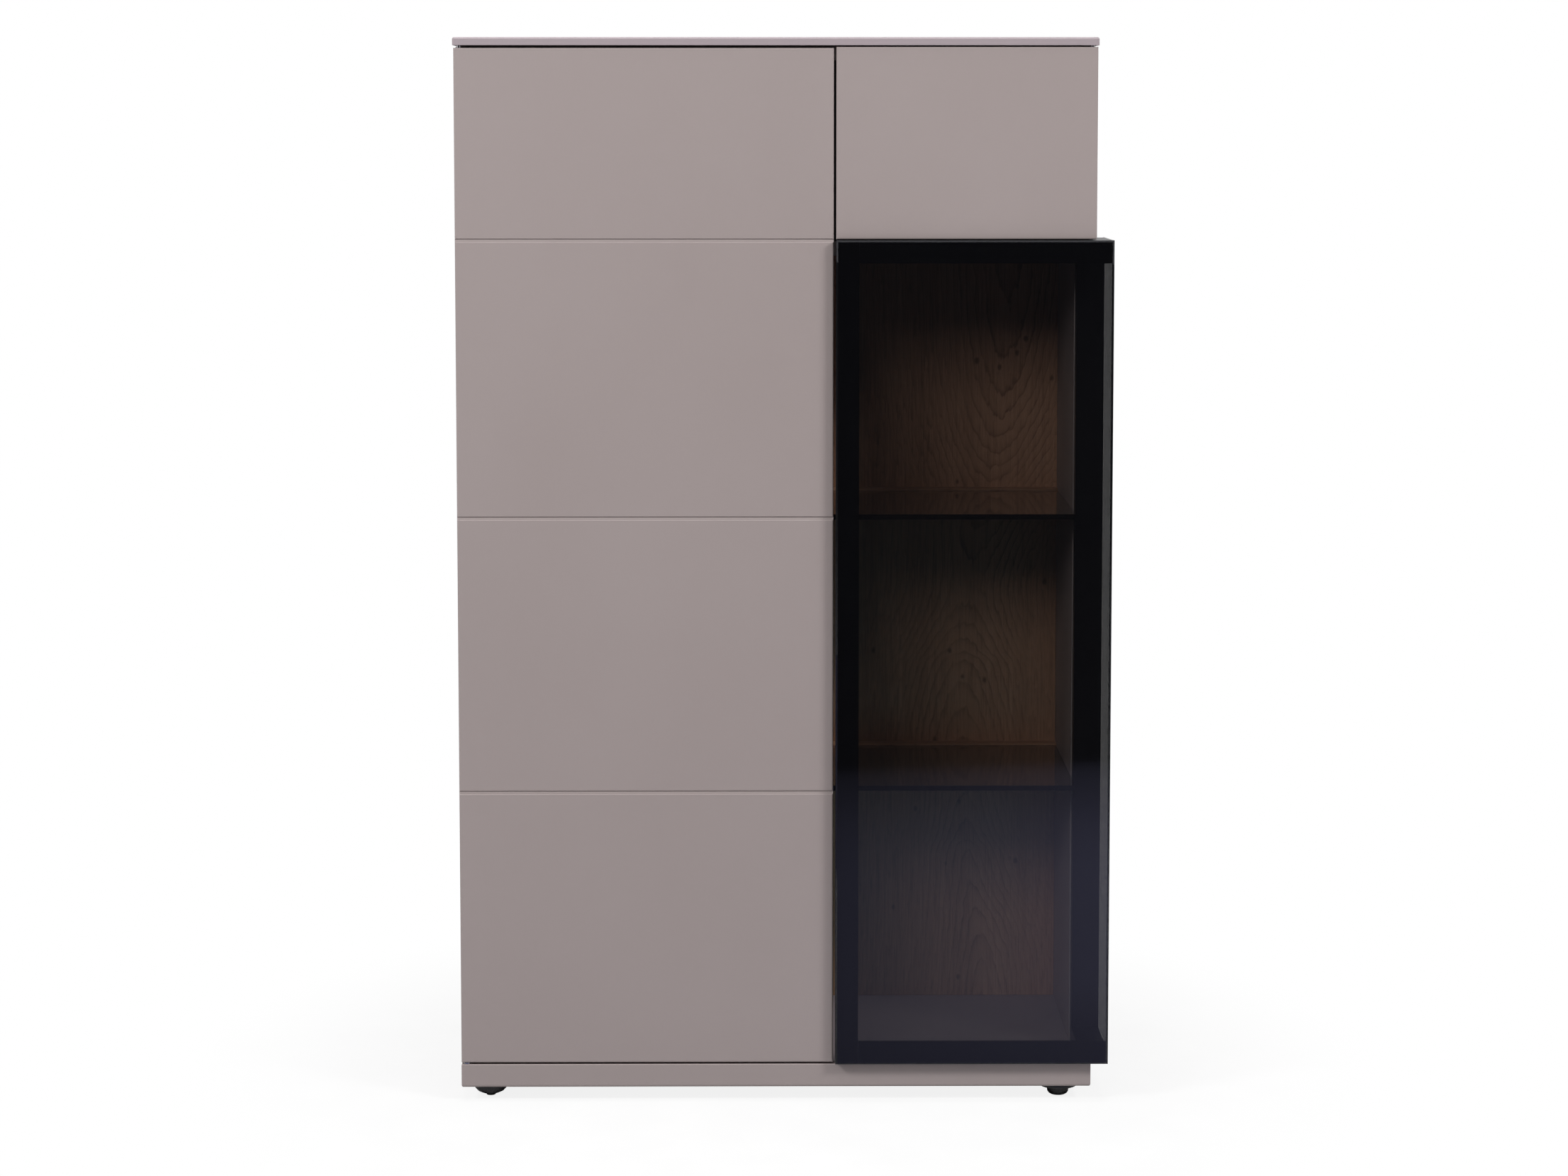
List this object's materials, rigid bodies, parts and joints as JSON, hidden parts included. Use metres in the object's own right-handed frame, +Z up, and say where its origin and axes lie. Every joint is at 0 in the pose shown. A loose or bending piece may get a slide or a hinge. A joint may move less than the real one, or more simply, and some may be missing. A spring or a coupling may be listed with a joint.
{
  "type": "highboard cabinet",
  "caption": "Tall lacquered highboard with a full-height grooved door, a small upper door and a smoked glass door that wraps round the right front corner of an oak-lined vitrine.",
  "frame": {"origin": "on the floor, under the centre of the whole outline", "axes": "+X to the right as seen from the front, the front looks towards -Y, +Z up"},
  "size_m": [0.9866, 0.435, 1.616],
  "materials": {
    "taupe_lacquer": "matt lacquer",
    "oak_veneer": "matt oiled, vertical grain",
    "black_frame": "satin black lacquer",
    "smoked_glass": "polished, grey tinted",
    "zinc_plated_steel": "satin",
    "black_plastic": "satin"
  },
  "bodies": {
    "carcass": {"top_plate": "taupe_lacquer", "base_plate": "taupe_lacquer", "left_side_panel": "taupe_lacquer", "right_side_panel": "taupe_lacquer", "partition": "taupe_lacquer", "carcass_top_board": "taupe_lacquer", "divider_board": "taupe_lacquer", "left_back_panel": "taupe_lacquer", "upper_right_back_panel": "taupe_lacquer", "vitrine_back_panel": "oak_veneer", "lower_shelf": "taupe_lacquer", "middle_shelf": "taupe_lacquer", "adjustable_shelf": "taupe_lacquer", "shelf_pin_left_front": "zinc_plated_steel", "shelf_pin_left_back": "zinc_plated_steel", "shelf_pin_right_front": "zinc_plated_steel", "shelf_pin_right_back": "zinc_plated_steel", "glass_shelf_lower": "smoked_glass", "glass_shelf_upper": "smoked_glass", "glass_shelf_rail_lower": "oak_veneer", "glass_shelf_rail_upper": "oak_veneer", "glass_shelf_pin_lower_left": "zinc_plated_steel", "glass_shelf_pin_lower_right": "zinc_plated_steel", "glass_shelf_pin_upper_left": "zinc_plated_steel", "glass_shelf_pin_upper_right": "zinc_plated_steel", "upper_door_lower_bracket": "zinc_plated_steel", "hinge_1_fixed_half": "zinc_plated_steel", "hinge_2_fixed_half": "zinc_plated_steel", "hinge_3_fixed_half": "zinc_plated_steel", "left_door_latch_housing": "zinc_plated_steel", "upper_door_latch_housing": "zinc_plated_steel", "glass_door_latch_housing": "zinc_plated_steel", "foot_dome_left_front": "black_plastic", "foot_dome_left_back": "black_plastic", "foot_dome_right_front": "black_plastic", "foot_dome_right_back": "black_plastic"},
    "left_door": {"left_door_panel": "taupe_lacquer", "left_door_lower_pivot": "zinc_plated_steel", "left_door_upper_pivot": "zinc_plated_steel"},
    "upper_door": {"upper_door_panel": "taupe_lacquer", "upper_door_upper_pivot": "zinc_plated_steel"},
    "glass_door": {"glass_door_left_stile": "black_frame", "glass_door_top_rail": "black_frame", "glass_door_bottom_rail": "black_frame", "glass_door_top_ledge": "black_frame", "glass_door_bottom_ledge": "black_frame", "glass_door_upright": "black_frame", "glass_door_front_pane": "smoked_glass", "glass_door_side_pane": "smoked_glass", "glass_door_corner_seam": "black_plastic", "hinge_1_moving_half": "zinc_plated_steel", "hinge_2_moving_half": "zinc_plated_steel", "hinge_3_moving_half": "zinc_plated_steel"},
    "left_door_plunger": {"left_door_latch_plunger": "black_plastic"},
    "upper_door_plunger": {"upper_door_latch_plunger": "black_plastic"},
    "glass_door_plunger": {"glass_door_latch_plunger": "black_plastic"},
    "left_front_foot": {"foot_glide_left_front": "black_plastic"},
    "left_back_foot": {"foot_glide_left_back": "black_plastic"},
    "right_front_foot": {"foot_glide_right_front": "black_plastic"},
    "right_back_foot": {"foot_glide_right_back": "black_plastic"}
  },
  "joints": [
    {"name": "left_door_swing", "type": "hinge", "parent": "carcass", "child": "left_door", "pos_m": [-0.48375, -0.196, 0.8], "axis": [0, 0, -1], "range_deg": [0, 100]},
    {"name": "upper_door_swing", "type": "hinge", "parent": "carcass", "child": "upper_door", "pos_m": [0.46025, -0.196, 1.45], "axis": [0, 0, 1], "range_deg": [0, 94]},
    {"name": "glass_door_swing", "type": "hinge", "parent": "carcass", "child": "glass_door", "pos_m": [0.47875, -0.0848, 0.69], "axis": [0, 0, 1], "range_deg": [0, 95]},
    {"name": "left_door_push_latch", "type": "slide", "parent": "carcass", "child": "left_door_plunger", "axis": [0, -1, 0], "range_m": [0, 0.02]},
    {"name": "upper_door_push_latch", "type": "slide", "parent": "carcass", "child": "upper_door_plunger", "axis": [0, -1, 0], "range_m": [0, 0.02]},
    {"name": "glass_door_push_latch", "type": "slide", "parent": "carcass", "child": "glass_door_plunger", "axis": [0, -1, 0], "range_m": [0, 0.02]},
    {"name": "left_front_foot_height", "type": "slide", "parent": "carcass", "child": "left_front_foot", "axis": [0, 0, -1], "range_m": [0, 0.008]},
    {"name": "left_back_foot_height", "type": "slide", "parent": "carcass", "child": "left_back_foot", "axis": [0, 0, -1], "range_m": [0, 0.008]},
    {"name": "right_front_foot_height", "type": "slide", "parent": "carcass", "child": "right_front_foot", "axis": [0, 0, -1], "range_m": [0, 0.008]},
    {"name": "right_back_foot_height", "type": "slide", "parent": "carcass", "child": "right_back_foot", "axis": [0, 0, -1], "range_m": [0, 0.008]}
  ],
  "couplings": [
    {"joint": "left_door_push_latch", "follows": "left_door_swing", "m_per_rad": 0.0114},
    {"joint": "upper_door_push_latch", "follows": "upper_door_swing", "m_per_rad": 0.012},
    {"joint": "glass_door_push_latch", "follows": "glass_door_swing", "m_per_rad": 0.012}
  ]
}
